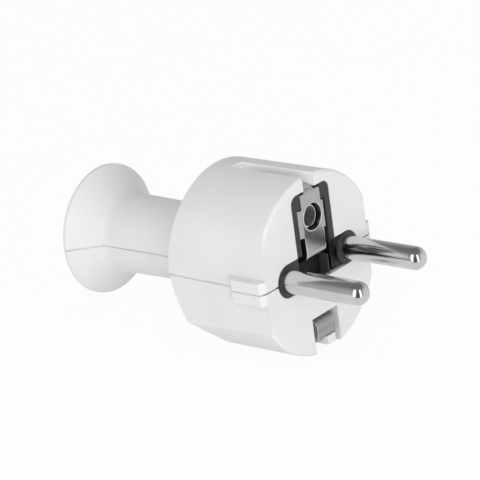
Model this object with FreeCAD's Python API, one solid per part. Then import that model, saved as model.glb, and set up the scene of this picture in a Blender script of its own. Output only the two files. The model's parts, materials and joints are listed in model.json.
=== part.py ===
# Two-pin mains plug with side and centre earth contacts, a split body and a trumpet-shaped handle.
# The frame: origin on the front face between the pins, +X out along the pins, +Y to one pin, +Z up.
import FreeCAD, Part
import math
import os
from functools import lru_cache
from FreeCAD import Vector

os.makedirs("parts", exist_ok=True)

# Pins
PIN_SPACING = 19.0
PIN_DIAMETER = 4.8
PIN_LENGTH = 19.2
PIN_SHANK_DIAMETER = 5.2
PIN_HEAD_DIAMETER = 6.2
PIN_HEAD_SHARE = 0.23
WIRE_HOLE_DIAMETER = 2.6
WIRE_HOLE_DEPTH = 4.6

# Body, from the front face to the handle
BODY_DIAMETER = 37.4
BODY_LENGTH = 22.7
FACE_EDGE = 0.7
FLAT_FRONT_CUT = 2.4
FLAT_REAR_CUT = 3.0
TOP_BLEND = 8.0
TOP_GROWTH = 0.25
TOP_OVERHANG = 0.45
SHOULDER_ANGLE = 45.0
SHOULDER_LENGTH = 5.2
REAR_FILLET = 7.2
LOW_RIM_TILT = 26.9
LOW_RIM_REAR = 5.1
LOW_APEX_REAR = 14.8
FACET_TURN = 52.1
FACET_TAPER = 13.6
FACET_DEPTH = 1.7
WALL = 2.3
FACE_WALL = 3.0
ROOM_REAR = 4.1

# Handle
NECK_DIAMETER = 16.3
NECK_GROWTH = 0.25
NECK_REAR = 26.1
FLARE_FILLET = 4.0
FLARE_ANGLE = 43.0
FLARE_DIAMETER = 27.6
FLARE_WALL = 2.0
LIP_THICKNESS = 0.6
CORD_BORE = 9.2

# Side lugs on the parting plane
LUG_STAND = 1.7
LUG_HALF_HEIGHT = 2.5
LUG_LENGTH = 7.8
LUG_RAMP = 1.9
LUG_BEVEL_X = 0.7
LUG_BEVEL_Y = 1.4

# Parting groove, the clearances between pieces, and how far a cut reaches past what it cuts
GROOVE_HALF = 0.14
GROOVE_DEPTH = 0.35
FIT = 0.1
LOOSE = 0.3
OVER = 1.0

# Opening in the face, and the insert that fills it
OPENING_RADIUS = 3.45
CHANNEL_HALF = 6.05
CHANNEL_COVER = 2.7
CHANNEL_CORNER = 1.8
CARRIER_SHARE = 0.4
FLANGE_STEP = 0.9
FLANGE_DEPTH = 2.8
RECESS_HALF = 5.0
RECESS_DEPTH = 5.2
LEDGE_DEPTH = 0.9
RIM = 1.6

# Grooves for the side earth contacts: depths below the round body, ends in front of its rear edge
TOP_GROOVE_HALF = 1.7
TOP_GROOVE_DEPTH = 3.9
TOP_GROOVE_REAR = 4.5
LOW_GROOVE_HALF = 3.2
LOW_GROOVE_DEPTH = 4.1
LOW_GROOVE_REAR = 5.7
GROOVE_RUNOUT = 4.5
TROUGH_WALL = 1.4
NOTCH_HALF = 4.1
NOTCH_HEIGHT = 8.2
NOTCH_DEPTH = 8.0
HOOK_NEAR = -0.2
HOOK_FAR = 2.5
HOOK_TOP_DEPTH = 2.95
HOOK_BOTTOM_DEPTH = 1.2
HOOK_LENGTH = 5.0

# Earth bracket, one bent strip
STRIP = 0.8
BEND = 0.9
PLATE_HALF = 3.05
PLATE_BOTTOM = 1.7
PLATE_COVER = 3.7
WING_LOW = 6.6
WING_HIGH = 12.4
WING_REACH = 1.25
WING_ANGLE = 24.0
LEAF_HALF = 1.55
LEAF_RISE = 0.8
LEAF_REAR = 9.5
CLIP_HALF = 2.9
CLIP_TOP_DEPTH = 7.3
CLIP_BOTTOM_DEPTH = 3.2
LINK_X = 4.2
TAB_Z = 7.2

# Centre earth socket
SOCKET_HEIGHT = 10.1
SOCKET_BORE = 5.0
HOLE_BEVEL = 0.35
SLEEVE_WALL = 0.45
SLEEVE_SHARE = 0.66
SLEEVE_SLIT = 0.7

# Screws, all of the same thread
SCREW_RADIUS = 1.45
HEAD_RADIUS = 2.4
HEAD_HEIGHT = 1.8
SLOT_WIDTH = 0.8
SLOT_DEPTH = 0.8
TERMINAL_SCREW_LENGTH = 4.6

# Earth terminal
EARTH_SCREW_SHARE = 0.51
NUT_SIDE = 5.0
NUT_HEIGHT = 2.2
CLAMP_PLATE_SIDE = 5.6
CLAMP_PLATE_THICKNESS = 0.8
SPRING_WASHER_THICKNESS = 0.7
SPRING_WASHER_SPLIT = 0.5

# Case screws, which rise into threaded inserts
CASE_SCREW_SHARE = 0.86
CASE_SCREW_Y = 5.5
CASE_SEAT = 11.6
CASE_POST_RADIUS = 2.8
CASE_POST_FLOOR = 1.6
INSERT_RADIUS = 2.1
INSERT_LENGTH = 4.0

# Cord clamp
CLAMP_SCREW_REAR = 1.5
CLAMP_SCREW_Y = 8.2
CLAMP_SEAT = 1.6
CLAMP_BAR_WIDTH = 3.2
CLAMP_BAR_THICKNESS = 1.8
CLAMP_POST_RADIUS = 2.4

# Ribs inside the shells
RIB = 1.2

SIDES = (-1, 1)
PIN_Y = PIN_SPACING / 2
PIN_RADIUS = PIN_DIAMETER / 2
PIN_HEAD_RADIUS = PIN_HEAD_DIAMETER / 2
BODY_RADIUS = BODY_DIAMETER / 2
NECK_RADIUS = NECK_DIAMETER / 2
NECK_END_RADIUS = NECK_RADIUS + NECK_GROWTH
FLARE_RADIUS = FLARE_DIAMETER / 2
CORD_RADIUS = CORD_BORE / 2
SLEEVE_RADIUS = SOCKET_BORE / 2

# Lengths that follow the body's length
CARRIER_DEPTH = CARRIER_SHARE * BODY_LENGTH
PIN_HEAD_END = -CARRIER_DEPTH - PIN_HEAD_SHARE * BODY_LENGTH
SLEEVE_END = -SLEEVE_SHARE * BODY_LENGTH
EARTH_SCREW_X = -EARTH_SCREW_SHARE * BODY_LENGTH
TAB_END = EARTH_SCREW_X - NUT_SIDE / 2 - LOOSE
CASE_SCREW_X = -CASE_SCREW_SHARE * BODY_LENGTH
CLAMP_SCREW_X = -BODY_LENGTH - CLAMP_SCREW_REAR
TOP_GROOVE_END = BODY_LENGTH - TOP_GROOVE_REAR
LOW_GROOVE_END = BODY_LENGTH - LOW_GROOVE_REAR
LEAF_LENGTH = BODY_LENGTH - LEAF_REAR
ROOM_END = BODY_LENGTH + ROOM_REAR
NECK_END = BODY_LENGTH + NECK_REAR

# Widths and heights that follow the body's diameter
FLAT_FRONT = BODY_RADIUS - FLAT_FRONT_CUT
FLAT_REAR = BODY_RADIUS - FLAT_REAR_CUT
LUG_REACH = FLAT_FRONT + LUG_STAND
CHANNEL_TOP = BODY_RADIUS - CHANNEL_COVER
PLATE_TOP = BODY_RADIUS - PLATE_COVER
TOP_GROOVE_FLOOR = BODY_RADIUS - TOP_GROOVE_DEPTH
LOW_GROOVE_FLOOR = BODY_RADIUS - LOW_GROOVE_DEPTH
NOTCH_TOP = BODY_RADIUS - NOTCH_HEIGHT
HOOK_TOP = BODY_RADIUS - HOOK_TOP_DEPTH
HOOK_BOTTOM = BODY_RADIUS - HOOK_BOTTOM_DEPTH
CLIP_TOP = BODY_RADIUS - CLIP_TOP_DEPTH
CLIP_BOTTOM = BODY_RADIUS - CLIP_BOTTOM_DEPTH

FLANGE_FRONT = -FACE_WALL - FIT
BIG = 4 * BODY_DIAMETER
OUTWARD = Vector(1, 0, 0)
ORIGIN = Vector(0, 0, 0)


# Simple solids

def box(x0, x1, y0, y1, z0, z1):
    low = Vector(min(x0, x1), min(y0, y1), min(z0, z1))
    return Part.makeBox(abs(x1 - x0), abs(y1 - y0), abs(z1 - z0), low)


def rod(x0, x1, radius, y=0.0, z=0.0):
    return Part.makeCylinder(radius, abs(x1 - x0), Vector(min(x0, x1), y, z), OUTWARD)


def post(x, y, z0, z1, radius):
    return Part.makeCylinder(radius, abs(z1 - z0), Vector(x, y, min(z0, z1)))


def join(shapes):
    first, rest = shapes[0], shapes[1:]
    return first.fuse(rest).removeSplitter() if rest else first


def upper(shape):
    return shape.common(box(-BIG, BIG, -BIG, BIG, 0, BIG))


def lower(shape):
    return shape.common(box(-BIG, BIG, -BIG, BIG, -BIG, 0))


def polygon_face(corners):
    return Part.Face(Part.makePolygon(corners + corners[:1]))


def bend_arc(start, corner, end, radius):
    """Tangent points and middle of the arc that rounds the corner of a path in the XZ plane."""
    back = (start - corner).normalize()
    ahead = (end - corner).normalize()
    half = back.getAngle(ahead) / 2
    reach = radius / math.tan(half)
    axis = (back + ahead).normalize()
    middle = corner + axis * (radius / math.sin(half) - radius)
    return corner + back * reach, middle, corner + ahead * reach


def rounded_path(points, radii):
    """Edges of an open path in the XZ plane whose corners are rounded by the given radii."""
    path = [Vector(x, 0, z) for x, z in points]
    edges, last = [], path[0]
    for before, corner, after, radius in zip(path, path[1:], path[2:], radii):
        first, middle, second = bend_arc(before, corner, after, radius)
        edges.append(Part.LineSegment(last, first).toShape())
        edges.append(Part.Arc(first, middle, second).toShape())
        last = second
    edges.append(Part.LineSegment(last, path[-1]).toShape())
    return edges


def offset_points(points, distance):
    """The path moved sideways by a distance, each corner kept on the line that halves it."""
    path = [Vector(x, 0, z) for x, z in points]
    legs = [(b - a).normalize() for a, b in zip(path, path[1:])]
    sides = [Vector(-leg.z, 0, leg.x) for leg in legs]
    moved = [path[0] + sides[0] * distance]
    for corner, one, two in zip(path[1:], sides, sides[1:]):
        halfway = (one + two).normalize()
        moved.append(corner + halfway * (distance / halfway.dot(one)))
    moved.append(path[-1] + sides[-1] * distance)
    return [(p.x, p.z) for p in moved]


def strip(points, half_width):
    """A bent sheet whose middle line follows the points, every bend with the same inside radius."""
    path = [Vector(x, 0, z) for x, z in points]
    left_turns = [(b - a).cross(c - b).y < 0 for a, b, c in zip(path, path[1:], path[2:])]
    edges, outlines = [], []
    for sign in SIDES:
        outline = offset_points(points, sign * STRIP / 2)
        radii = [BEND if turn == (sign > 0) else BEND + STRIP for turn in left_turns]
        edges += rounded_path(outline, radii)
        outlines.append(outline)
    for tip in (0, -1):
        one, two = [Vector(outline[tip][0], 0, outline[tip][1]) for outline in outlines]
        edges.append(Part.LineSegment(one, two).toShape())
    face = Part.Face(Part.Wire(Part.__sortEdges__(edges)))
    face.translate(Vector(0, -half_width, 0))
    return face.extrude(Vector(0, 2 * half_width, 0))


# The outside of the body and handle

def flare_places(inset):
    """Where the flare's arc is halfway and ends, and the x of its rim and of its rear face."""
    turn = math.radians(FLARE_ANGLE)
    neck = NECK_END_RADIUS - inset

    def on_arc(angle):
        return Vector(-NECK_END - FLARE_FILLET * math.sin(angle), 0, neck + FLARE_FILLET * (1 - math.cos(angle)))

    arc_end = on_arc(turn)
    rim_x = arc_end.x - (FLARE_RADIUS - inset - arc_end.z) / math.tan(turn)
    return on_arc(turn / 2), arc_end, rim_x, rim_x - LIP_THICKNESS


def outer_profile(inset, growth=0.0, overhang=0.0):
    """Closed profile (x, radius) of the turned outside, drawn in by an inset; the body may be larger."""
    front = -inset
    radius = BODY_RADIUS + growth - inset
    neck = NECK_RADIUS - inset
    rim = FLARE_RADIUS - inset
    shoulder_x = -BODY_LENGTH - SHOULDER_LENGTH
    shoulder_r = BODY_RADIUS - inset - SHOULDER_LENGTH * math.tan(math.radians(SHOULDER_ANGLE))
    # The rear fillet is tangent to the neck and meets the end of the shoulder
    drop = REAR_FILLET - (shoulder_r - neck)
    centre = Vector(shoulder_x - math.sqrt(REAR_FILLET ** 2 - drop ** 2), 0, neck + REAR_FILLET)
    half_turn = math.atan2(shoulder_x - centre.x, drop) / 2
    mid_rear = centre + Vector(math.sin(half_turn), 0, -math.cos(half_turn)) * REAR_FILLET
    face_low = Vector(front, 0, radius - FACE_EDGE)
    face_high = Vector(front - FACE_EDGE, 0, radius)
    face_mid = Vector(face_high.x, 0, face_low.z) + Vector(1, 0, 1).normalize() * FACE_EDGE
    body_end = Vector(-BODY_LENGTH - overhang, 0, radius)
    shoulder_end = Vector(shoulder_x, 0, shoulder_r)
    neck_start = Vector(centre.x, 0, neck)
    neck_stop = Vector(-NECK_END, 0, NECK_END_RADIUS - inset)
    arc_mid, arc_end, rim_x, end_x = flare_places(inset)
    outline = [
        Part.LineSegment(Vector(front, 0, 0), face_low),
        Part.Arc(face_low, face_mid, face_high),
        Part.LineSegment(face_high, body_end),
        Part.LineSegment(body_end, shoulder_end),
        Part.Arc(shoulder_end, mid_rear, neck_start),
        Part.LineSegment(neck_start, neck_stop),
        Part.Arc(neck_stop, arc_mid, arc_end),
        Part.LineSegment(arc_end, Vector(rim_x, 0, rim)),
        Part.LineSegment(Vector(rim_x, 0, rim), Vector(end_x, 0, rim)),
        Part.LineSegment(Vector(end_x, 0, rim), Vector(end_x, 0, 0)),
        Part.LineSegment(Vector(end_x, 0, 0), Vector(front, 0, 0)),
    ]
    return Part.Wire([piece.toShape() for piece in outline])


def flat_cutters(inset):
    """The two slabs that cut the drafted side flats."""
    rear_x = flare_places(0.0)[-1] - 2 * OVER
    slope = (FLAT_FRONT - FLAT_REAR) / BODY_LENGTH
    cutters = []
    for side in SIDES:
        corners = [
            Vector(2 * OVER, side * (FLAT_FRONT - inset + slope * 2 * OVER), -BIG),
            Vector(rear_x, side * (FLAT_FRONT - inset + slope * rear_x), -BIG),
            Vector(rear_x, side * BIG, -BIG),
            Vector(2 * OVER, side * BIG, -BIG),
        ]
        cutters.append(polygon_face(corners).extrude(Vector(0, 0, 2 * BIG)))
    return cutters


def blended_bar(inset):
    """A long round bar with the side flats, the upper edges of the flats rounded over."""
    radius = BODY_RADIUS + TOP_GROWTH - inset
    bar = rod(OVER, flare_places(0.0)[-1] - OVER, radius).cut(flat_cutters(inset))
    creases = [edge for edge in bar.Edges if edge.BoundBox.ZMin > 0 and edge.BoundBox.XLength > BODY_LENGTH]
    return bar.makeFillet(TOP_BLEND - inset, creases)


def low_shoulder(inset):
    """What the leaning lower shoulder leaves out: all behind a tilted rim but a cone drawn to the neck."""
    tilt = math.radians(LOW_RIM_TILT)
    rim_x = -BODY_LENGTH - LOW_RIM_REAR
    apex = Vector(-BODY_LENGTH - LOW_APEX_REAR, 0, 0)
    end_x = -BODY_LENGTH - SHOULDER_LENGTH - REAR_FILLET
    bar = rod(OVER, -BIG, BODY_RADIUS)
    rim = bar.slice(Vector(math.cos(tilt), 0, math.sin(tilt)), rim_x * math.cos(tilt))[0]
    drawn = rim.copy()
    drawn.scale(NECK_RADIUS / BODY_DIAMETER, apex)
    cone = Part.makeLoft([rim, drawn], True, True)
    low = Vector(rim_x + BODY_DIAMETER * math.tan(tilt), -BIG, -BODY_DIAMETER)
    corners = [Vector(rim_x, -BIG, 0), low, Vector(end_x, -BIG, low.z), Vector(end_x, -BIG, 0)]
    space = polygon_face(corners).extrude(Vector(0, 2 * BIG, 0)).cut([cone, rod(0, -BIG, NECK_RADIUS)])
    space.translate(Vector(inset / math.sin(math.radians(SHOULDER_ANGLE)), 0, 0))
    return space


def low_facets(inset):
    """The two slabs that flatten the round underside a little, just in front of its rear rim."""
    turn, taper = math.radians(FACET_TURN), math.radians(FACET_TAPER)
    reach = box(0, -BODY_LENGTH - SHOULDER_LENGTH, -BIG, BIG, -BIG, BIG)
    slabs = []
    for side in SIDES:
        across = math.cos(taper)
        normal = Vector(-math.sin(taper), side * across * math.cos(turn), -across * math.sin(turn))
        base = Vector(-BODY_LENGTH, 0, 0) + normal * (BODY_RADIUS - FACET_DEPTH - inset)
        slab = box(0, BIG, -BIG, BIG, -BIG, BIG)
        turned = FreeCAD.Placement(base, FreeCAD.Rotation(OUTWARD, normal))
        slabs.append(slab.transformed(turned.toMatrix()).common(reach))
    return slabs


def lug(side, inset):
    """A side lug with a ramp at its rear end and a bevelled front edge."""
    reach = LUG_REACH - inset
    root = FLAT_REAR - WALL / 2
    front = -inset
    ramp_end = -LUG_LENGTH - LUG_RAMP
    outline = [
        Vector(front, side * root, 0),
        Vector(front, side * (reach - LUG_BEVEL_Y), 0),
        Vector(front - LUG_BEVEL_X, side * reach, 0),
        Vector(-LUG_LENGTH, side * reach, 0),
        Vector(ramp_end, side * (reach - LUG_RAMP), 0),
        Vector(ramp_end, side * root, 0),
    ]
    face = polygon_face(outline)
    height = LUG_HALF_HEIGHT - inset
    face.translate(Vector(0, 0, -height))
    return face.extrude(Vector(0, 0, 2 * height))


@lru_cache
def outer_form(inset=0.0):
    """The whole outside as one solid: turned form, side flats blended above, and lugs."""
    high = Part.Face(outer_profile(inset, TOP_GROWTH, TOP_OVERHANG)).revolve(ORIGIN, OUTWARD, 360)
    low = Part.Face(outer_profile(inset)).revolve(ORIGIN, OUTWARD, 360)
    top = upper(high.common(blended_bar(inset)))
    bottom = lower(low.cut(flat_cutters(inset) + [low_shoulder(inset)] + low_facets(inset)))
    return join([top, bottom] + [lug(side, inset) for side in SIDES])


# The space inside the body and handle

def cavity_form(inset=0.0):
    """The room for the contacts, its shoulder parallel to the outside; an inset makes it smaller."""
    radius = BODY_RADIUS - WALL - inset
    front = -FACE_WALL - inset
    bend_x = -BODY_LENGTH + WALL * math.tan(math.radians(SHOULDER_ANGLE / 2))
    end_x = -ROOM_END + inset
    end_r = radius - (bend_x - end_x) * math.tan(math.radians(SHOULDER_ANGLE))
    outline = [Vector(front, 0, 0), Vector(front, 0, radius), Vector(bend_x, 0, radius),
               Vector(end_x, 0, end_r), Vector(end_x, 0, 0)]
    form = polygon_face(outline).revolve(ORIGIN, OUTWARD, 360)
    return form.cut(flat_cutters(WALL + inset) + [low_shoulder(WALL + inset)])


def cord_passage():
    """The bore through the neck and the bell behind the flare, its wall of even thickness."""
    _, _, rim_x, end_x = flare_places(0.0)
    turn = math.radians(FLARE_ANGLE)
    mouth = FLARE_RADIUS + (rim_x - end_x) * math.tan(turn) - FLARE_WALL / math.cos(turn)
    depth = (mouth - CORD_RADIUS) / math.tan(turn)
    bore = rod(-BODY_LENGTH, end_x - OVER, CORD_RADIUS)
    bell = Part.makeCone(mouth, CORD_RADIUS, depth, Vector(end_x, 0, 0), OUTWARD)
    return join([bore, bell])


def channel(half, top, corner, x0, x1):
    """An upright slot with rounded top corners, seen from the front."""
    block = box(x0, x1, -half, half, 0, top)
    along = [edge for edge in block.Edges
             if edge.BoundBox.ZMin > top - FIT and edge.BoundBox.YLength < FIT < edge.BoundBox.XLength]
    return block.makeFillet(corner, along)


def stadium(radius, x0, x1):
    """A slot with round ends about the two pin axes."""
    ends = [rod(x0, x1, radius, side * PIN_Y) for side in SIDES]
    return join(ends + [box(x0, x1, -PIN_Y, PIN_Y, -radius, radius)])


def face_opening(gap, x0, x1, top=CHANNEL_TOP):
    """The opening in the face, made smaller by a gap for the insert that fills it."""
    upright = channel(CHANNEL_HALF - gap, top - gap, CHANNEL_CORNER, x0, x1)
    return join([stadium(OPENING_RADIUS - gap, x0, x1), upright])


# Shells

def contact_groove(half, floor, end, sign):
    """A groove for a side contact leaf, with a curved run-out at its rear end."""
    turn = -end + GROOVE_RUNOUT
    straight = box(OVER, turn, -half, half, sign * floor, sign * BIG)
    centre = Vector(turn, -half, sign * (floor + GROOVE_RUNOUT))
    runout = Part.makeCylinder(GROOVE_RUNOUT, 2 * half, centre, Vector(0, 1, 0))
    return join([straight, runout])


def trough(half, floor, end, sign):
    """The wall that closes a contact groove towards the inside."""
    return box(-FACE_WALL, -end - TROUGH_WALL, -half - TROUGH_WALL, half + TROUGH_WALL,
               sign * (floor - TROUGH_WALL), sign * BODY_RADIUS)


def pin_ribs(sign):
    """Ribs across the body that trap the insert's flange and stop the pins from sliding back."""
    keeper_x = FLANGE_FRONT - FLANGE_DEPTH - FIT
    keeper = box(keeper_x, keeper_x - RIB, -BIG, BIG, 0, sign * BIG)
    keeper = keeper.cut([face_opening(-LOOSE, -BIG, BIG, TOP_GROOVE_FLOOR),
                         box(-BIG, BIG, -PIN_Y, PIN_Y, -BIG, BIG)])
    stop_x = PIN_HEAD_END - FIT
    open_half = PIN_Y - PIN_HEAD_RADIUS
    wires = [rod(-BIG, BIG, WIRE_HOLE_DIAMETER / 2 + LOOSE, side * PIN_Y) for side in SIDES]
    stop = box(stop_x, stop_x - RIB, -BIG, BIG, 0, sign * BIG)
    stop = stop.cut([box(-BIG, BIG, -open_half, open_half, -BIG, BIG)] + wires)
    return [keeper.common(cavity_form()), stop.common(cavity_form())]


def parting_groove(half_shape):
    """Cuts the fine groove that runs round the parting plane."""
    slab = box(-BIG, BIG, -BIG, BIG, -GROOVE_HALF, GROOVE_HALF)
    return half_shape.cut(outer_form().common(slab).cut(outer_form(GROOVE_DEPTH)))


def make_upper_shell():
    shell = upper(outer_form()).cut([cavity_form(), cord_passage()])
    inside = [trough(TOP_GROOVE_HALF, TOP_GROOVE_FLOOR, TOP_GROOVE_END, 1)]
    inside += [post(CASE_SCREW_X, side * CASE_SCREW_Y, 0, BODY_RADIUS, CASE_POST_RADIUS) for side in SIDES]
    shell = join([shell] + pin_ribs(1) + [piece.common(outer_form()) for piece in inside])
    cuts = [contact_groove(TOP_GROOVE_HALF, TOP_GROOVE_FLOOR, TOP_GROOVE_END, 1),
            face_opening(0.0, OVER, FLANGE_FRONT - FIT),
            rod(0, SLEEVE_END - LOOSE, SLEEVE_RADIUS + SLEEVE_WALL + LOOSE, 0, SOCKET_HEIGHT)]
    for side in SIDES:
        y = side * CASE_SCREW_Y
        cuts.append(post(CASE_SCREW_X, y, 0, INSERT_LENGTH + FIT + FIT, INSERT_RADIUS + FIT / 2))
        cuts.append(post(CASE_SCREW_X, y, 0, INSERT_LENGTH + INSERT_LENGTH, SCREW_RADIUS + FIT))
    return parting_groove(shell.cut(cuts))


def make_lower_shell():
    shell = lower(outer_form()).cut([cavity_form(), cord_passage()])
    notch_trough = trough(NOTCH_HALF, LOW_GROOVE_FLOOR, NOTCH_DEPTH, -1)
    inside = [notch_trough, trough(LOW_GROOVE_HALF, LOW_GROOVE_FLOOR, LOW_GROOVE_END, -1)]
    well_radius = HEAD_RADIUS + LOOSE
    cuts = [
        stadium(OPENING_RADIUS, OVER, FLANGE_FRONT),
        contact_groove(LOW_GROOVE_HALF, LOW_GROOVE_FLOOR, LOW_GROOVE_END, -1),
        box(OVER, -NOTCH_DEPTH, -NOTCH_HALF, NOTCH_HALF, -LOW_GROOVE_FLOOR, -BIG),
        box(OVER, FLANGE_FRONT, -NOTCH_HALF, NOTCH_HALF, -NOTCH_TOP, -BIG),
    ]
    clamp_posts = []
    for side in SIDES:
        y = side * CASE_SCREW_Y
        inside.append(post(CASE_SCREW_X, y, -BODY_RADIUS, CASE_POST_FLOOR - CASE_SEAT, well_radius + RIB))
        inside.append(post(CASE_SCREW_X, y, -BODY_RADIUS, 0, CASE_POST_RADIUS))
        cuts.append(post(CASE_SCREW_X, y, -BIG, -CASE_SEAT, well_radius))
        cuts.append(post(CASE_SCREW_X, y, -CASE_SEAT, 0, SCREW_RADIUS + FIT))
        y = side * CLAMP_SCREW_Y
        clamp_posts.append(post(CLAMP_SCREW_X, y, -BODY_RADIUS, CLAMP_SEAT, CLAMP_POST_RADIUS))
        cuts.append(post(CLAMP_SCREW_X, y, -TERMINAL_SCREW_LENGTH - FIT, CLAMP_SEAT, SCREW_RADIUS))
    inside = [piece.common(outer_form()) for piece in inside + clamp_posts]
    shell = join([shell] + pin_ribs(-1) + inside).cut(cuts)
    hook = [
        box(-FIT, -HOOK_LENGTH, HOOK_NEAR, HOOK_FAR, -HOOK_TOP, -HOOK_BOTTOM),
        box(-FACE_WALL, -HOOK_LENGTH, HOOK_NEAR, HOOK_FAR, FIT - LOW_GROOVE_FLOOR, -HOOK_BOTTOM),
    ]
    return parting_groove(join([shell] + hook))


# Insert that carries the pins

def make_pin_carrier():
    back_top = TOP_GROOVE_FLOOR - TROUGH_WALL - FIT
    front = face_opening(FIT, -FIT, FLANGE_FRONT)
    back = face_opening(FIT, FLANGE_FRONT, -CARRIER_DEPTH, back_top)
    flange = face_opening(-FLANGE_STEP, FLANGE_FRONT, FLANGE_FRONT - FLANGE_DEPTH, back_top - FLANGE_STEP)
    body = join([front, back, flange.common(cavity_form(FIT))])
    collar_radius = OPENING_RADIUS - FIT
    window = CHANNEL_HALF - RIM
    plate = PLATE_HALF + FIT
    link = CLIP_HALF + LOOSE
    cuts = [
        box(OVER, -RECESS_DEPTH, -RECESS_HALF, RECESS_HALF, -OPENING_RADIUS - LOOSE, collar_radius),
        box(OVER, -RECESS_DEPTH, -window, window, 0, WING_HIGH + LOOSE),
        box(OVER, -STRIP - FIT, -plate, plate, 0, CHANNEL_TOP),
        box(OVER, FLANGE_FRONT, -TOP_GROOVE_HALF, TOP_GROOVE_HALF, TOP_GROOVE_FLOOR - LOOSE, BIG),
        rod(OVER, -BIG, SLEEVE_RADIUS + SLEEVE_WALL + FIT, 0, SOCKET_HEIGHT),
        box(STRIP - LINK_X, -STRIP - LINK_X, -link, link, 0, -BIG),
        box(OVER, -RECESS_DEPTH, -plate, plate, -BIG, 0),
    ]
    for side in SIDES:
        ledge = box(OVER, -LEDGE_DEPTH, side * RECESS_HALF, side * PIN_Y, -BIG, OPENING_RADIUS)
        cuts.append(ledge.cut(rod(2 * OVER, -BIG, collar_radius, side * PIN_Y)))
        cuts.append(rod(OVER, -BIG, PIN_SHANK_DIAMETER / 2 + FIT / 2, side * PIN_Y))
    return body.cut(cuts)


# Metal pieces

def make_pin(side):
    """A pin with a rounded tip, a thicker shank in the insert and a head that takes the wire."""
    y = side * PIN_Y
    straight = PIN_LENGTH - PIN_RADIUS
    shank_end = -CARRIER_DEPTH - FIT
    pin = join([
        rod(-FIT, straight, PIN_RADIUS, y),
        Part.makeSphere(PIN_RADIUS, Vector(straight, y, 0)),
        rod(shank_end, -FIT, PIN_SHANK_DIAMETER / 2, y),
        rod(PIN_HEAD_END, shank_end, PIN_HEAD_RADIUS, y),
    ])
    wire = rod(PIN_HEAD_END - OVER, PIN_HEAD_END + WIRE_HOLE_DEPTH, WIRE_HOLE_DIAMETER / 2, y)
    thread = post((PIN_HEAD_END - CARRIER_DEPTH) / 2, y, 0, BIG, SCREW_RADIUS)
    return pin.cut([wire, thread])


def screw_slot(x, y, top, radius, up):
    reach = radius + OVER
    return box(x - reach, x + reach, y - SLOT_WIDTH / 2, y + SLOT_WIDTH / 2,
               top - up * SLOT_DEPTH, top + up * OVER)


def make_screw(x, y, seat, length, up=1):
    """A slotted screw; its head sits on the seat and its shank runs the other way."""
    top = seat + up * HEAD_HEIGHT
    shank = post(x, y, seat - up * length, seat, SCREW_RADIUS)
    head = post(x, y, seat, top, HEAD_RADIUS)
    return join([shank, head]).cut(screw_slot(x, y, top, HEAD_RADIUS, up))


def make_terminal_screw(side):
    """The headless screw in the pin's head, wound out to take a wire."""
    x = (PIN_HEAD_END - CARRIER_DEPTH) / 2
    y = side * PIN_Y
    shank = post(x, y, WIRE_HOLE_DIAMETER / 2, WIRE_HOLE_DIAMETER / 2 + TERMINAL_SCREW_LENGTH, SCREW_RADIUS)
    top = WIRE_HOLE_DIAMETER / 2 + TERMINAL_SCREW_LENGTH
    return shank.cut(screw_slot(x, y, top, SCREW_RADIUS, 1))


def bracket_path():
    """Middle line of the earth strip in the XZ plane, from the upper leaf to the lower one."""
    face = -STRIP / 2
    leaf_z = PLATE_TOP + STRIP
    clip_z = -CLIP_TOP - STRIP / 2
    return [
        (-LEAF_LENGTH, leaf_z - STRIP / 2),
        (-LEAF_LENGTH / 2, leaf_z + LEAF_RISE),
        (face, leaf_z),
        (face, PLATE_BOTTOM),
        (-LINK_X, PLATE_BOTTOM),
        (-LINK_X, clip_z),
        (face, clip_z),
        (face, -leaf_z),
        (-LEAF_LENGTH / 2, -leaf_z - LEAF_RISE),
        (-LEAF_LENGTH, -leaf_z + STRIP / 2),
    ]


def wing(side):
    """A side wing of the front plate, bent back along its inner edge."""
    piece = box(0, -STRIP, 0, side * WING_REACH, WING_LOW, WING_HIGH)
    piece.rotate(ORIGIN, Vector(0, 0, 1), side * WING_ANGLE)
    piece.translate(Vector(0, side * (PLATE_HALF - FIT), 0))
    return piece


def make_earth_bracket():
    """The bent strip with leaves, front plate, lower clip and a tab for the earth screw."""
    leaf_z = PLATE_TOP + STRIP / 2
    tab_path = [(-LINK_X, -TAB_Z + 2 * STRIP + BEND), (-LINK_X, -TAB_Z), (TAB_END, -TAB_Z)]
    cuts = [box(OVER, -HOOK_LENGTH - LOOSE, HOOK_NEAR - LOOSE, HOOK_FAR + LOOSE, -CLIP_BOTTOM, -BIG)]
    for side in SIDES:
        cuts.append(box(OVER, -BIG, side * LEAF_HALF, side * BIG, leaf_z, BIG))
        cuts.append(box(-STRIP, -BIG, side * LEAF_HALF, side * BIG, PLATE_TOP - BEND, leaf_z))
        cuts.append(box(OVER, -BIG, side * CLIP_HALF, side * BIG, PLATE_BOTTOM - STRIP, -BIG))
    bracket = strip(bracket_path(), PLATE_HALF).cut(cuts)
    bracket = join([bracket, wing(-1), wing(1), strip(tab_path, CLIP_HALF)])
    hole = rod(OVER, -STRIP - OVER, SLEEVE_RADIUS, 0, SOCKET_HEIGHT)
    bevel = Part.makeCone(SLEEVE_RADIUS, SLEEVE_RADIUS + HOLE_BEVEL, HOLE_BEVEL,
                          Vector(-HOLE_BEVEL, 0, SOCKET_HEIGHT), OUTWARD)
    screw_hole = post(EARTH_SCREW_X, 0, -TAB_Z - STRIP, -TAB_Z + STRIP, SCREW_RADIUS + FIT)
    return bracket.cut([hole, bevel, screw_hole])


def make_earth_sleeve():
    """The slit tube behind the hole that grips an earth pin."""
    tube = rod(-STRIP - FIT, SLEEVE_END, SLEEVE_RADIUS + SLEEVE_WALL, 0, SOCKET_HEIGHT)
    slit = box(OVER, -BIG, -SLEEVE_SLIT / 2, SLEEVE_SLIT / 2, SOCKET_HEIGHT - BIG, SOCKET_HEIGHT)
    return tube.cut([rod(OVER, -BIG, SLEEVE_RADIUS, 0, SOCKET_HEIGHT), slit])


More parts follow.
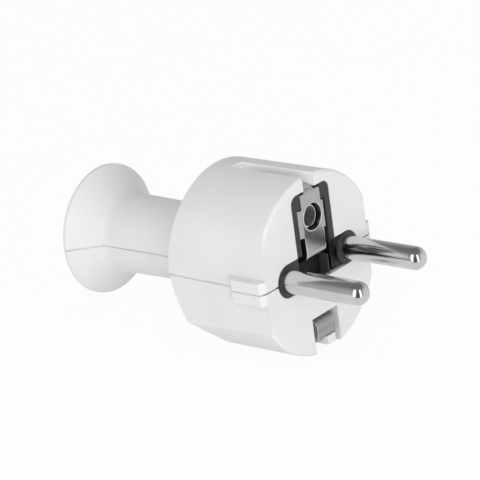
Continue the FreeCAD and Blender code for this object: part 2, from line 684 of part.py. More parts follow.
def square_plate(x, side_length, z0, z1, hole):
    half = side_length / 2
    return box(x - half, x + half, -half, half, z0, z1).cut(post(x, 0, z0, z1, hole))


def make_earth_nut():
    top = -TAB_Z - STRIP / 2
    return square_plate(EARTH_SCREW_X, NUT_SIDE, top - NUT_HEIGHT, top, SCREW_RADIUS)


def make_earth_clamp_plate():
    seat = -TAB_Z + STRIP / 2
    return square_plate(EARTH_SCREW_X, CLAMP_PLATE_SIDE, seat, seat + CLAMP_PLATE_THICKNESS, SCREW_RADIUS + FIT)


def make_earth_spring_washer():
    """A round washer with one split, between the clamp plate and the screw's head."""
    seat = -TAB_Z + STRIP / 2 + CLAMP_PLATE_THICKNESS
    top = seat + SPRING_WASHER_THICKNESS
    ring = post(EARTH_SCREW_X, 0, seat, top, HEAD_RADIUS)
    split = box(EARTH_SCREW_X, EARTH_SCREW_X + BIG, -SPRING_WASHER_SPLIT / 2, SPRING_WASHER_SPLIT / 2, seat, top)
    return ring.cut([post(EARTH_SCREW_X, 0, seat, top, SCREW_RADIUS + FIT), split])


def make_earth_screw():
    seat = -TAB_Z + STRIP / 2 + CLAMP_PLATE_THICKNESS + SPRING_WASHER_THICKNESS
    return make_screw(EARTH_SCREW_X, 0, seat, TERMINAL_SCREW_LENGTH)


def make_case_screw(side):
    """A screw from below that draws the shells together."""
    length = CASE_SEAT + INSERT_LENGTH + LOOSE
    return make_screw(CASE_SCREW_X, side * CASE_SCREW_Y, -CASE_SEAT, length, -1)


def make_case_insert(side):
    """The threaded bush in the upper shell's post."""
    x, y = CASE_SCREW_X, side * CASE_SCREW_Y
    bush = post(x, y, FIT, FIT + INSERT_LENGTH, INSERT_RADIUS)
    return bush.cut(post(x, y, 0, BIG, SCREW_RADIUS))


def make_clamp_bar():
    """The strap with flat ends and a raised arch that holds the cord down."""
    half = CLAMP_BAR_WIDTH / 2
    front, rear = CLAMP_SCREW_X + half, CLAMP_SCREW_X - half
    reach = CLAMP_SCREW_Y + HEAD_RADIUS
    inner = CORD_RADIUS - LOOSE
    ends = box(front, rear, -reach, reach, CLAMP_SEAT, CLAMP_SEAT + CLAMP_BAR_THICKNESS)
    arch = rod(front, rear, inner + CLAMP_BAR_THICKNESS)
    cuts = [rod(-BIG, BIG, inner), box(-BIG, BIG, -BIG, BIG, -BIG, CLAMP_SEAT)]
    for side in SIDES:
        cuts.append(post(CLAMP_SCREW_X, side * CLAMP_SCREW_Y, -BIG, BIG, SCREW_RADIUS + FIT))
    return join([ends, arch]).cut(cuts)


def make_clamp_screw(side):
    seat = CLAMP_SEAT + CLAMP_BAR_THICKNESS
    return make_screw(CLAMP_SCREW_X, side * CLAMP_SCREW_Y, seat, seat + TERMINAL_SCREW_LENGTH)


nodes = {
    "upper_shell": make_upper_shell(),
    "lower_shell": make_lower_shell(),
    "pin_carrier": make_pin_carrier(),
    "line_pin": make_pin(-1),
    "neutral_pin": make_pin(1),
    "line_terminal_screw": make_terminal_screw(-1),
    "neutral_terminal_screw": make_terminal_screw(1),
    "earth_bracket": make_earth_bracket(),
    "earth_sleeve": make_earth_sleeve(),
    "earth_terminal_nut": make_earth_nut(),
    "earth_clamp_plate": make_earth_clamp_plate(),
    "earth_spring_washer": make_earth_spring_washer(),
    "earth_terminal_screw": make_earth_screw(),
    "cord_clamp_bar": make_clamp_bar(),
}
for side, name in zip(SIDES, ("near", "far")):
    nodes["case_screw_" + name] = make_case_screw(side)
    nodes["case_insert_" + name] = make_case_insert(side)
    nodes["cord_clamp_screw_" + name] = make_clamp_screw(side)

for name, shape in nodes.items():
    shape.exportStep("parts/" + name + ".step")
    print(name, len(shape.Solids), shape.isValid(), round(shape.Volume, 1))
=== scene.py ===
import json
import math
import bmesh
import bpy
from mathutils import Matrix, Vector


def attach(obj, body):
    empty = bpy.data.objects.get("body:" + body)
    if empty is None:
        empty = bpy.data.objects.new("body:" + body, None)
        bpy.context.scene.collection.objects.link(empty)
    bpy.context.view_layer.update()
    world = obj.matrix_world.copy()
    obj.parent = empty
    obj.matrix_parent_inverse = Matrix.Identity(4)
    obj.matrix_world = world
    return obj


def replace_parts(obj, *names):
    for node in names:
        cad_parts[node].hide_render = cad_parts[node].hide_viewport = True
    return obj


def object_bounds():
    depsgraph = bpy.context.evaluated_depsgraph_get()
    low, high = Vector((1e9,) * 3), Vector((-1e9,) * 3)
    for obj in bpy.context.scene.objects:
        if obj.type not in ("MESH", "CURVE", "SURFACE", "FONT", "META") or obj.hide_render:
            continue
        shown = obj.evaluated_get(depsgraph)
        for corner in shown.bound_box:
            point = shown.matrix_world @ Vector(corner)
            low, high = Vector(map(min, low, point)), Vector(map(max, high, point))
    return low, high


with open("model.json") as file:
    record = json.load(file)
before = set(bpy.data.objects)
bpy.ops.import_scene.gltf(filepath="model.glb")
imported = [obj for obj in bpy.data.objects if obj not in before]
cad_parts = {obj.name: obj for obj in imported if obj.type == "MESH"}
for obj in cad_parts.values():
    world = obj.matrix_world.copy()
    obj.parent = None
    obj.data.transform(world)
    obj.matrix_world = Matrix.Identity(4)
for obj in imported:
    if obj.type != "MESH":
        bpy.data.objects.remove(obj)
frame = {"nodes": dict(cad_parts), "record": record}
cad_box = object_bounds()
nodes = frame["nodes"]

MM = 0.001

# The camera, fitted to the photo: angles in degrees, lengths in millimetres, and the focal length in pixels
# of a frame of 480.
AZIMUTH, ELEVATION, ROLL = 42.032, 20.527, -8.014
AWAY, ASIDE, ABOVE = 514.519, -15.611, 4.725
FOCAL_PIXELS = 2591.887
FRAME_PIXELS = 480
SENSOR = 36.0
NEAREST = 0.01


def camera_axes():
    a, e, r = (math.radians(v) for v in (AZIMUTH, ELEVATION, ROLL))
    back = Vector((math.sin(a) * math.cos(e), -math.cos(a) * math.cos(e), math.sin(e)))
    right = Vector((math.cos(a), math.sin(a), 0))
    up = back.cross(right)
    return right * math.cos(r) + up * math.sin(r), up * math.cos(r) - right * math.sin(r), back


def place_camera():
    right, up, back = camera_axes()
    data = bpy.data.cameras.new("camera")
    data.sensor_width = SENSOR
    data.lens = FOCAL_PIXELS / FRAME_PIXELS * SENSOR
    data.clip_start = NEAREST
    camera = bpy.data.objects.new("camera", data)
    bpy.context.scene.collection.objects.link(camera)
    spot = (right * ASIDE + up * ABOVE + back * AWAY) * MM
    turn = Matrix((right, up, back)).transposed().to_4x4()
    camera.matrix_world = Matrix.Translation(spot) @ turn
    bpy.context.scene.camera = camera


# Where most of a noise's values lie.
NOISE_LOW, NOISE_HIGH = 0.3, 0.7


class Nodes:
    """Short names for what every node tree here needs."""

    def add(self, kind, **values):
        node = self.tree.nodes.new(kind)
        for key, value in values.items():
            setattr(node, key, value)
        return node

    def link(self, source, target):
        self.tree.links.new(source, target)

    def give(self, socket, value):
        """Set a socket to a number, or link another node's output to it."""
        if isinstance(value, float):
            socket.default_value = value
        else:
            self.link(value, socket)

    def calc(self, operation, first, second=0.0):
        node = self.add("ShaderNodeMath", operation=operation)
        self.give(node.inputs[0], first)
        self.give(node.inputs[1], second)
        return node.outputs[0]

    def spread(self, source, low, high, start=NOISE_LOW, end=NOISE_HIGH, kind="LINEAR"):
        """From low to high while the source goes from start to end, and level before and after."""
        node = self.add("ShaderNodeMapRange", interpolation_type=kind)
        self.link(source, node.inputs["Value"])
        for key, value in (("From Min", start), ("From Max", end), ("To Min", low), ("To Max", high)):
            self.give(node.inputs[key], value)
        return node.outputs["Result"]


class Paint(Nodes):
    """A material. Its coordinate is in metres from the object, so grain and wear keep their real size."""

    def __init__(self, name, metallic=0.0):
        self.material = bpy.data.materials.new(name)
        self.material.use_nodes = True
        self.tree = self.material.node_tree
        self.shader = self.tree.nodes["Principled BSDF"].inputs
        self.shader["Metallic"].default_value = metallic
        self.spot = self.add("ShaderNodeTexCoord").outputs["Object"]

    def noise(self, size, detail, vector=None):
        node = self.add("ShaderNodeTexNoise")
        node.inputs["Scale"].default_value = 1 / size
        node.inputs["Detail"].default_value = detail
        self.link(vector or self.spot, node.inputs["Vector"])
        return node.outputs["Fac"]

    def lines(self, x, y, z, detail=2):
        """Noise drawn out into lines, with about this many to a metre along each axis."""
        node = self.add("ShaderNodeMapping")
        node.inputs["Scale"].default_value = (x, y, z)
        self.link(self.spot, node.inputs["Vector"])
        return self.noise(1.0, detail, node.outputs["Vector"])

    def ramp(self, source, dark, light):
        """From a dark colour to a light one with a noise."""
        node = self.add("ShaderNodeValToRGB")
        for stop, position, colour in zip(node.color_ramp.elements, (NOISE_LOW, NOISE_HIGH), (dark, light)):
            stop.position = position
            stop.color = (*colour, 1)
        self.link(source, node.inputs["Fac"])
        return node.outputs["Color"]

    def places(self):
        split = self.add("ShaderNodeSeparateXYZ")
        self.link(self.spot, split.inputs[0])
        return split.outputs

    def above(self, source, start, end):
        """Nothing up to the start and all from the end on, both in millimetres."""
        return self.spread(source, 0.0, 1.0, start * MM, end * MM)

    def below(self, source, start, end):
        """All up to the start and nothing from the end on, both in millimetres."""
        return self.spread(source, 1.0, 0.0, start * MM, end * MM)

    def tint(self, colour, share, *more):
        """Blend a colour into what the base colour has so far, by the product of the shares."""
        for other in more:
            share = self.calc("MULTIPLY", share, other)
        base = self.shader["Base Color"]
        node = self.add("ShaderNodeMix", data_type="RGBA")
        self.link(base.links[0].from_socket, node.inputs["A"])
        node.inputs["B"].default_value = (*colour, 1)
        self.link(share, node.inputs["Factor"])
        self.link(node.outputs["Result"], base)

    def worn_edges(self, radius):
        """A normal that rounds the edges off."""
        soft = self.add("ShaderNodeBevel", samples=6)
        soft.inputs["Radius"].default_value = radius
        return soft.outputs["Normal"]

    def bump(self, normal, height, strength, depth):
        """The normal, tilted by a relief of this depth in metres."""
        node = self.add("ShaderNodeBump")
        node.inputs["Strength"].default_value = strength
        node.inputs["Distance"].default_value = depth
        self.link(height, node.inputs["Height"])
        self.link(normal, node.inputs["Normal"])
        return node.outputs["Normal"]


# Moulded plastic: how large its patches of colour, its duller patches and its flow waves are, in metres,
# and how far its roughness goes down and up.
PATCH_SIZE, DULL_SIZE, WAVE_SIZE = 0.009, 0.004, 0.006
WAVE_DEPTH = 0.00004
SHINIER, DULLER = 0.04, 0.05


def moulded(name, dark, light, rough, specular=0.5, grain=0.0003, depth=0.000006, edge=0.0002):
    """Injection-moulded plastic: a fine eroded grain, a slow flow pattern and softly rounded edges."""
    p = Paint(name)
    p.shader["Specular IOR Level"].default_value = specular
    p.link(p.ramp(p.noise(PATCH_SIZE, 3), dark, light), p.shader["Base Color"])
    p.link(p.spread(p.noise(DULL_SIZE, 3), rough - SHINIER, rough + DULLER), p.shader["Roughness"])
    waves = p.bump(p.worn_edges(edge), p.noise(WAVE_SIZE, 1), strength=0.25, depth=WAVE_DEPTH)
    p.link(p.bump(waves, p.noise(grain, 3), strength=0.5, depth=depth), p.shader["Normal"])
    return p


# Painted light and painted shade on the shells: their colours, and where they fade in or out along an axis,
# in millimetres.
PAINTED_LIGHT_WHITE = (0.98, 0.98, 0.975)
# The parting line: painted light along the outside, clear of the bore and the bell, and painted shade near
# the face.
LINE_HALF, LINE_OUTSIDE, LINE_REAR = (0.08, 0.17), (7.4, 7.7), (-54.6, -54.0)
LINE_FACE = (-1.0, -0.4)
LINE_SHADE, LINE_SHADE_SHARE = (0.06, 0.06, 0.06), 0.75
# The wider line of painted shade in the parting gap on the face itself.
WIDE_SHADE = (0.03, 0.03, 0.03)
WIDE_FACE, WIDE_SIDE, WIDE_HALF = (-0.6, -0.3), (13.1, 13.7), (0.15, 0.3)
# The bottom notch and the top groove, behind the face's edge, get painted light on their walls.
BEHIND_EDGE = (-0.4, -0.2)
NOTCH_REAR, NOTCH_HALF, NOTCH_TOP = (-17.2, -16.6), (3.22, 3.25), (-9.0, -8.0)
GROOVE_REAR, GROOVE_HALF, GROOVE_FLOOR = (-18.4, -17.8), (1.72, 1.74), (13.5, 14.0)


def white_plastic():
    """The shells' white: painted shade in the parting line on the face, and painted light along the line's
    outside and in the grooves.
    """
    p = moulded("white_plastic", (0.80, 0.80, 0.80), (0.83, 0.83, 0.828), rough=0.40, specular=0.42,
                grain=0.00035, depth=0.000004)
    x, y, z = p.places()
    side, height = p.calc("ABSOLUTE", y), p.calc("ABSOLUTE", z)
    line = p.below(height, *LINE_HALF)
    outside = (p.above(side, *LINE_OUTSIDE), p.above(x, *LINE_REAR))
    # Painted light along the outside of the parting line.
    p.tint(PAINTED_LIGHT_WHITE, line, p.below(x, *LINE_FACE), *outside)
    # Painted shade in the parting line on the face.
    p.tint(LINE_SHADE, line, p.above(x, *LINE_FACE), LINE_SHADE_SHARE)
    # A wider band of painted shade in the parting gap on the face.
    wide = (p.below(side, *WIDE_SIDE), p.below(height, *WIDE_HALF))
    p.tint(WIDE_SHADE, p.above(x, *WIDE_FACE), *wide)
    # Painted light on the walls of the notch and the groove.
    behind = p.below(x, *BEHIND_EDGE)
    notch = (p.above(x, *NOTCH_REAR), p.below(side, *NOTCH_HALF), p.below(z, *NOTCH_TOP))
    p.tint(PAINTED_LIGHT_WHITE, behind, *notch)
    groove = (p.above(x, *GROOVE_REAR), p.below(side, *GROOVE_HALF), p.above(z, *GROOVE_FLOOR))
    p.tint(PAINTED_LIGHT_WHITE, behind, *groove)
    return p.material


# Painted shade on the insert beside the far pin's root.
PIN_ROOT_SHADE = (0.006, 0.006, 0.006)
PIN_ROOT_SHADE_FROM, PIN_ROOT_SHADE_TO, PIN_ROOT_SHADE_TOP = (4.5, 4.7), (6.3, 6.5), (2.5, 3.8)


def black_plastic():
    """The insert's black, with painted shade beside the far pin's root."""
    p = moulded("black_plastic", (0.030, 0.030, 0.031), (0.038, 0.038, 0.039), rough=0.42, specular=0.45)
    _, y, z = p.places()
    # Painted shade beside the far pin's root.
    p.tint(PIN_ROOT_SHADE, p.above(y, *PIN_ROOT_SHADE_FROM), p.below(y, *PIN_ROOT_SHADE_TO), p.below(z, *PIN_ROOT_SHADE_TOP))
    return p.material


def painted_shade_black():
    """A darker copy of the insert's black: painted shade in its recess, where hardly any light comes."""
    p = moulded("painted_shade_black", (0.008, 0.008, 0.008), (0.012, 0.012, 0.012), rough=0.55, specular=0.25,
                edge=0.0001)
    return p.material


def painted_light_black():
    """A lighter copy of the insert's black: painted light on the recess's rib and floor."""
    p = moulded("painted_light_black", (0.055, 0.055, 0.056), (0.075, 0.075, 0.076), rough=0.40, edge=0.0001)
    return p.material


def grey_plastic():
    """The plain grey of the plastic that clamps the cord."""
    p = moulded("grey_plastic", (0.48, 0.48, 0.48), (0.53, 0.53, 0.52), rough=0.45, depth=0.000008,
                edge=0.00025)
    return p.material


def cloudy(name, dark, light, smooth, rough, size, detail=4, metallic=1.0):
    """Metal with clouds of this size, which change its colour and its roughness together."""
    p = Paint(name, metallic)
    cloud = p.noise(size, detail)
    p.link(p.ramp(cloud, dark, light), p.shader["Base Color"])
    p.link(p.spread(cloud, smooth, rough), p.shader["Roughness"])
    return p


def turned_nickel():
    """Turned and nickel-plated: fine rings round the pin and a few long plug-in scratches."""
    p = cloudy("turned_nickel", (0.66, 0.66, 0.655), (0.72, 0.72, 0.713), smooth=0.13, rough=0.2, size=0.003)
    rings = p.bump(p.worn_edges(0.0002), p.lines(9000, 60, 60, detail=3), strength=0.35, depth=0.0000025)
    scratches = p.spread(p.lines(90, 6000, 6000), low=0.0, high=1.0, start=0.62, end=0.75)
    p.link(p.bump(rings, scratches, strength=0.25, depth=0.000003), p.shader["Normal"])
    return p.material


# Painted shade and painted highlights on the earth strip, in millimetres: painted shade round the socket's
# axis and on the lower clip, and painted highlights along its edges.
SOCKET_HEIGHT = 10.1
HOLE_SHADE, HOLE_SHADE_RADIUS = (0.05, 0.05, 0.05), (2.74, 2.82)
CLIP_SHADE, CLIP_SHADE_TOP = (0.0, 0.0, 0.0), (-9.0, -6.0)
EDGE_HIGHLIGHT, EDGE_HIGHLIGHT_SHARE = (0.95, 0.95, 0.94), 0.8
EDGE_HIGHLIGHT_FROM, EDGE_HIGHLIGHT_TOP = (2.74, 2.84), (6.4, 6.6)
# How far the plate's normals lean down, as a slope.
PLATE_LEAN = 0.06


def pressed_nickel():
    """Rolled strip, pressed and plated: rolling lines, painted highlights on its edges, and painted shade at
    its hole's edge and on the lower clip.
    """
    p = cloudy("pressed_nickel", (0.48, 0.48, 0.476), (0.53, 0.53, 0.525), smooth=0.2, rough=0.24,
               size=0.0012)
    _, y, z = p.places()
    rise = p.calc("SUBTRACT", z, SOCKET_HEIGHT * MM)
    from_axis = p.calc("SQRT", p.calc("ADD", p.calc("MULTIPLY", y, y), p.calc("MULTIPLY", rise, rise)))
    # Painted shade on the hole's edge.
    p.tint(HOLE_SHADE, p.below(from_axis, *HOLE_SHADE_RADIUS))
    # Painted shade on the lower clip, laid on in streaks.
    shade_streaks = p.spread(p.lines(40, 40, 520), low=0.08, high=0.42, start=0.35, end=0.65)
    p.tint(CLIP_SHADE, p.below(z, *CLIP_SHADE_TOP), shade_streaks)
    # Painted highlights along the plate's outer edges below the wings.
    p.tint(EDGE_HIGHLIGHT, p.above(p.calc("ABSOLUTE", y), *EDGE_HIGHLIGHT_FROM), p.below(z, *EDGE_HIGHLIGHT_TOP), EDGE_HIGHLIGHT_SHARE)
    leaning = p.bump(p.worn_edges(0.00025), z, strength=1.0, depth=PLATE_LEAN)
    rolled = p.bump(leaning, p.lines(250, 7000, 250, detail=3), strength=0.12, depth=0.000002)
    p.link(rolled, p.shader["Normal"])
    return p.material


def painted_highlight_nickel():
    """A brighter copy of the plate's nickel for the thin rim left round a punched hole: a painted highlight.
    """
    p = Paint("painted_highlight_nickel", 0.8)
    p.link(p.ramp(p.noise(0.0006, 3), (0.82, 0.82, 0.81), (0.95, 0.95, 0.94)), p.shader["Base Color"])
    p.link(p.spread(p.noise(0.0008, 3), low=0.35, high=0.5), p.shader["Roughness"])
    return p.material


def satin_nickel():
    """The sleeve's dull drawn metal, with lines along it."""
    p = cloudy("satin_nickel", (0.84, 0.84, 0.83), (0.92, 0.92, 0.91), smooth=0.36, rough=0.46, size=0.002,
               detail=3, metallic=0.85)
    drawn = p.bump(p.worn_edges(0.0001), p.lines(200, 9000, 9000), strength=0.2, depth=0.000003)
    p.link(drawn, p.shader["Normal"])
    return p.material


def zinc_steel():
    """Zinc-plated steel, cloudy and with a fine grain."""
    p = cloudy("zinc_steel", (0.50, 0.51, 0.53), (0.62, 0.62, 0.63), smooth=0.26, rough=0.42, size=0.0015)
    grain = p.bump(p.worn_edges(0.00015), p.noise(0.0004, 3), strength=0.4, depth=0.000008)
    p.link(grain, p.shader["Normal"])
    return p.material


def yellow_brass():
    """Turned brass, with fine rings round an upright axis."""
    p = cloudy("yellow_brass", (0.62, 0.44, 0.16), (0.74, 0.56, 0.24), smooth=0.22, rough=0.36, size=0.002)
    rings = p.bump(p.worn_edges(0.00015), p.lines(300, 300, 8000), strength=0.3, depth=0.000004)
    p.link(rings, p.shader["Normal"])
    return p.material


FINISH = {
    "shell_white": white_plastic,
    "insert_black": black_plastic,
    "clamp_plastic": grey_plastic,
    "pin_nickel": turned_nickel,
    "earth_nickel": pressed_nickel,
    "screw_zinc": zinc_steel,
    "insert_brass": yellow_brass,
}


def dress_nodes(paints):
    """Paint each node as its material slot in the record says."""
    for part in frame["record"]["subparts"]:
        thing = nodes[part["node"]]
        if not thing.material_slots:
            thing.data.materials.append(None)
        for place in thing.material_slots:
            place.material = paints[part["material_slot"]]


# Pieces that the solids lack. Their sizes are in millimetres, and so are the places in their outlines.
FULL_TURN = 2 * math.pi
TURN_STEPS = 72
SHARP_ANGLE = math.radians(40)
PIN_Y = 9.5
LIP_INNER, LIP_OUTER, LIP_CHAMFER = 2.43, 3.02, 0.05
LIP_FRONT, LIP_SHOULDER, LIP_BACK = -0.01, -0.04, -0.14
RECESS_HALF = 4.98
WALL_FRONT, WALL_WEB, WALL_BACK, STRIP_WAY = -2.4, -3.7, -5.1, 3.2
WALL_LOW, WALL_HIGH = -3.40, 0.9
RIB_FRONT, RIB_BACK, RIB_INNER, RIB_OUTER, RIB_LOW = -0.15, -2.5, 3.15, 3.4, -3.30
FLOOR_FRONT, LEDGE_FRONT, LEDGE_SIDE, FLOOR_BACK = -0.22, -0.9, 2.3, -3.5
FLOOR_LOW, FLOOR_HIGH = -3.44, -3.16
WING_OUTLINE = [(-0.03, 2.9), (-0.16, 3.95), (-0.46, 3.92), (-0.45, 2.9)]
WING_LOW, WING_HIGH = 6.6, 12.4
BROAD_EDGE, FINE_EDGE = 0.08, 0.06
RIM_MIDDLE, RIM_THICK, RIM_SIDES = 2.87, 0.09, 8
# The sleeve's outside as (radius, x), and half the angle of its slit.
SLEEVE_OUTSIDE = [(2.30, -0.95), (2.36, -1.05), (2.55, -4.0), (2.75, -8.0), (2.90, -14.9)]
SLEEVE_WALL = 0.3
SLEEVE_SLIT = 0.16


def add_piece(name, mesh, paint):
    piece = bpy.data.objects.new(name, mesh)
    bpy.context.scene.collection.objects.link(piece)
    mesh.materials.append(paint)
    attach(piece, "root")
    return piece


def turned(name, profile, y, z, start=0.0, sweep=FULL_TURN):
    """A closed outline of (radius, x) points turned about an axis along X."""
    whole = sweep == FULL_TURN
    count = TURN_STEPS if whole else TURN_STEPS + 1
    points, faces = [], []
    for step in range(count):
        angle = start + sweep * step / TURN_STEPS
        across, up = math.cos(angle), math.sin(angle)
        points += [(x * MM, (y + r * across) * MM, (z + r * up) * MM) for r, x in profile]
    size = len(profile)
    for step in range(TURN_STEPS):
        near, far = step * size, (step + 1) % count * size
        for i in range(size):
            j = (i + 1) % size
            faces.append((near + i, near + j, far + j, far + i))
    if not whole:
        faces += [tuple(range(size))[::-1], tuple(range(size * TURN_STEPS, size * count))]
    mesh = bpy.data.meshes.new(name)
    mesh.from_pydata(points, [], faces)
    tidy = bmesh.new()
    tidy.from_mesh(mesh)
    bmesh.ops.recalc_face_normals(tidy, faces=tidy.faces)
    tidy.to_mesh(mesh)
    tidy.free()
    mesh.shade_smooth()
    mesh.set_sharp_from_angle(angle=SHARP_ANGLE)
    return mesh


def raised(name, outline, low, high, edge):
    """A flat outline of (x, y) points raised from one height to another, with small rounded edges."""
    build = bmesh.new()
    floor = build.faces.new([build.verts.new((x * MM, y * MM, low * MM)) for x, y in outline])
    lifted = bmesh.ops.extrude_face_region(build, geom=[floor])["geom"]
    tops = [v for v in lifted if isinstance(v, bmesh.types.BMVert)]
    bmesh.ops.translate(build, verts=tops, vec=(0, 0, (high - low) * MM))
    bmesh.ops.recalc_face_normals(build, faces=build.faces)
    bmesh.ops.bevel(build, geom=build.edges, offset=edge * MM, segments=2, affect="EDGES")
    mesh = bpy.data.meshes.new(name)
    build.to_mesh(mesh)
    build.free()
    return mesh


def add_pin_lips(paint):
    """The insert's thin lip that closes round each pin where it leaves the face."""
    outline = [(LIP_INNER, LIP_BACK), (LIP_INNER, LIP_SHOULDER), (LIP_INNER + LIP_CHAMFER, LIP_FRONT),
               (LIP_OUTER - LIP_CHAMFER, LIP_FRONT), (LIP_OUTER, LIP_SHOULDER), (LIP_OUTER, LIP_BACK)]
    for name, y in (("pin_lip_near", -PIN_Y), ("pin_lip_far", PIN_Y)):
        add_piece(name, turned(name, outline, y, 0.0), paint)


def add_recess_lining(paint, shade_black):
    """The insert's wall, rib and floor in the recess between the pins, round the strip's way down."""
    half, way = RECESS_HALF, STRIP_WAY
    wall = [(WALL_FRONT, half), (WALL_FRONT, -half), (WALL_BACK, -half), (WALL_BACK, -way),
            (WALL_WEB, -way), (WALL_WEB, way), (WALL_BACK, way), (WALL_BACK, half)]
    rib = [(RIB_BACK, RIB_INNER), (RIB_FRONT, RIB_INNER), (RIB_FRONT, RIB_OUTER), (RIB_BACK, RIB_OUTER)]
    floor = [(FLOOR_FRONT, -half), (FLOOR_FRONT, LEDGE_SIDE), (LEDGE_FRONT, LEDGE_SIDE), (LEDGE_FRONT, half),
             (FLOOR_BACK, half), (FLOOR_BACK, -half)]
    # The wall in a darker black of painted shade, the rib and the floor in a lighter black of painted light.
    for name, outline, low, high, edge, black in (
            ("recess_wall", wall, WALL_LOW, WALL_HIGH, BROAD_EDGE, shade_black),
            ("recess_rib", rib, RIB_LOW, WALL_HIGH, FINE_EDGE, paint),
            ("recess_floor", floor, FLOOR_LOW, FLOOR_HIGH, FINE_EDGE, paint)):
        add_piece(name, raised(name, outline, low, high, edge), black)


def add_far_wing(paint):
    """The far wing of the earth plate stands out less bent than the near one."""
    mesh = raised("earth_wing_far", WING_OUTLINE, WING_LOW, WING_HIGH, FINE_EDGE)
    add_piece("earth_wing_far", mesh, paint)


def add_hole_rim(paint):
    """The thin raised rim that punching left round the earth hole."""
    turns = [FULL_TURN * i / RIM_SIDES for i in range(RIM_SIDES)]
    outline = [(RIM_MIDDLE + RIM_THICK * math.cos(turn), RIM_THICK * math.sin(turn)) for turn in turns]
    add_piece("hole_rim", turned("hole_rim", outline, 0.0, SOCKET_HEIGHT), paint)


def add_sleeve(paint):
    """The slit spring tube behind the hole: its mouth is drawn in to grip an earth pin."""
    outline = SLEEVE_OUTSIDE + [(r - SLEEVE_WALL, x) for r, x in reversed(SLEEVE_OUTSIDE)]
    start, sweep = SLEEVE_SLIT - math.pi / 2, FULL_TURN - 2 * SLEEVE_SLIT
    mesh = turned("earth_sleeve_spring", outline, 0.0, SOCKET_HEIGHT, start, sweep)
    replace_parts(add_piece("earth_sleeve_spring", mesh, paint), "earth_sleeve")


# The studio.
WORLD_LEVEL = 0.605
FLOOR_LEVEL = 0.97
# How much of its true light and shadow the floor keeps for the camera. Reflections see the room's table
# instead.
KEPT_SEEN = 0.06
FLOOR_HALF = 3.0
FLOOR_DROP = 0.0002
# name, direction from the object, distance, width, height, watts
LAMPS = (
    ("camera_lamp", (0.45, -0.80, 0.62), 0.75, 0.34, 0.26, 0.54),
    ("front_lamp", (0.97, -0.20, 0.12), 0.80, 0.28, 0.30, 1.06),
    ("side_lamp", (0.20, -1.0, 0.10), 0.80, 0.70, 0.14, 0.70),
    ("corner_lamp", (0.75, -0.6, 0.10), 0.80, 0.50, 0.14, 1.24),
)
# Panels that only reflections see, the dark camera between two soft boxes:
# name, direction, distance, width, height, grey
PANELS = (
    ("camera_side", (0.63, -0.70, 0.26), 0.82, 1.70, 1.30, 0.07),
    ("left_box", (0.16, -0.92, 0.34), 0.66, 0.30, 0.86, 2.0),
    ("right_box", (0.90, -0.34, 0.21), 0.66, 0.20, 0.86, 2.0),
)
# The greys of the room that reflections see: overhead, behind the plug, in front of it, and of the table.
ROOM_TOP, ROOM_REAR, ROOM_FRONT, ROOM_TABLE = 0.18, 0.46, 0.72, 0.82
# Where they fade into each other, as a part of a unit direction: along X, up to overhead, and up from the
# table.
FRONT_FADE, TOP_FADE, TABLE_FADE = (-0.3, 0.5), (0.35, 0.85), (-0.06, 0.04)
AIM = Vector((-0.018, 0.0, 0.0))
PLAIN_WHITE = (1, 1, 1, 1)


class Wiring(Nodes):
    """A bare node tree that ends in an output."""

    def __init__(self, holder, output):
        holder.use_nodes = True
        self.tree = holder.node_tree
        self.tree.nodes.clear()
        self.output = self.add(output).inputs["Surface"]

    def fade(self, source, limits, first, second):
        """A smooth change from the first value to the second between the limits."""
        return self.spread(source, first, second, *limits, "SMOOTHSTEP")

    def mix(self, share, first, second):
        node = self.add("ShaderNodeMixShader")
        self.link(share, node.inputs["Fac"])
        self.link(first, node.inputs[1])
        self.link(second, node.inputs[2])
        self.link(node.outputs[0], self.output)


def add_sheet(name, width, height, z, material_name):
    """A flat rectangle with a material of its own. Gives the object and the material's wiring."""
    w, h = width / 2, height / 2
    mesh = bpy.data.meshes.new(name)
    mesh.from_pydata([(-w, -h, z), (w, -h, z), (w, h, z), (-w, h, z)], [], [(0, 1, 2, 3)])
    sheet = bpy.data.objects.new(name, mesh)
    bpy.context.scene.collection.objects.link(sheet)
    material = bpy.data.materials.new(material_name)
    mesh.materials.append(material)
    return sheet, Wiring(material, "ShaderNodeOutputMaterial")


def lay_floor():
    """A white sheet: plain white to the camera, but for a trace of the shadow."""
    floor, w = add_sheet("floor", 2 * FLOOR_HALF, 2 * FLOOR_HALF, cad_box[0][2] - FLOOR_DROP, "floor_white")
    paper = w.add("ShaderNodeBsdfDiffuse")
    paper.inputs["Color"].default_value = (FLOOR_LEVEL, FLOOR_LEVEL, FLOOR_LEVEL, 1)
    plain = w.add("ShaderNodeEmission")
    seen = w.add("ShaderNodeLightPath").outputs["Is Camera Ray"]
    w.mix(w.calc("MULTIPLY", seen, 1 - KEPT_SEEN), paper.outputs[0], plain.outputs[0])
    floor.visible_glossy = False


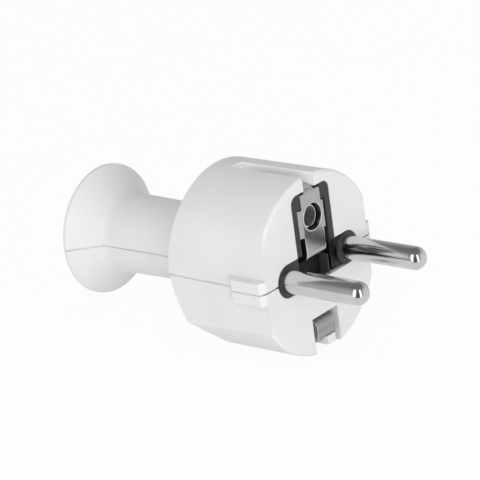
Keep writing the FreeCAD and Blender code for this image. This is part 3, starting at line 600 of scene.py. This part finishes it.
def light_world():
    """White to the camera, the graded room to reflections, and even light to all else."""
    world = bpy.data.worlds.new("studio")
    bpy.context.scene.world = world
    w = Wiring(world, "ShaderNodeOutputWorld")
    seen, soft = w.add("ShaderNodeBackground"), w.add("ShaderNodeBackground")
    soft.inputs["Strength"].default_value = WORLD_LEVEL
    for sky in (seen, soft):
        sky.inputs["Color"].default_value = PLAIN_WHITE
    way = w.add("ShaderNodeSeparateXYZ")
    w.link(w.add("ShaderNodeTexCoord").outputs["Generated"], way.inputs[0])
    side = w.fade(way.outputs["X"], FRONT_FADE, ROOM_REAR, ROOM_FRONT)
    above = w.fade(way.outputs["Z"], TOP_FADE, side, ROOM_TOP)
    room = w.fade(way.outputs["Z"], TABLE_FADE, ROOM_TABLE, above)
    path = w.add("ShaderNodeLightPath").outputs
    w.link(w.calc("MAXIMUM", path["Is Camera Ray"], room), seen.inputs["Strength"])
    reflected = w.calc("MAXIMUM", path["Is Glossy Ray"], path["Is Transmission Ray"])
    w.mix(w.calc("MAXIMUM", path["Is Camera Ray"], reflected), soft.outputs[0], seen.outputs[0])


def aim(thing, way, away):
    way = Vector(way).normalized()
    thing.location = AIM + way * away
    thing.rotation_euler = way.to_track_quat("Z", "Y").to_euler()


def hang_lamps():
    for name, way, away, width, height, watts in LAMPS:
        data = bpy.data.lights.new(name, "AREA")
        data.shape = "RECTANGLE"
        data.size, data.size_y = width, height
        data.energy = watts
        lamp = bpy.data.objects.new(name, data)
        bpy.context.scene.collection.objects.link(lamp)
        lamp.visible_glossy = False
        aim(lamp, way, away)


def hang_panels():
    for name, way, away, width, height, grey in PANELS:
        panel, w = add_sheet(name, width, height, 0.0, name)
        aim(panel, way, away)
        panel.visible_camera = False
        panel.visible_diffuse = False
        panel.visible_shadow = False
        glow = w.add("ShaderNodeEmission")
        glow.inputs["Strength"].default_value = grey
        w.link(glow.outputs[0], w.output)


place_camera()
paints = {slot: make() for slot, make in FINISH.items()}
dress_nodes(paints)
add_pin_lips(paints["insert_black"])
# The recess: a lighter black of painted light and a darker black of painted shade.
add_recess_lining(painted_light_black(), painted_shade_black())
add_far_wing(paints["earth_nickel"])
# The hole's rim in a brighter nickel, a painted highlight.
add_hole_rim(painted_highlight_nickel())
add_sleeve(satin_nickel())
lay_floor()
light_world()
hang_lamps()
hang_panels()
bpy.context.scene.view_settings.view_transform = "Standard"
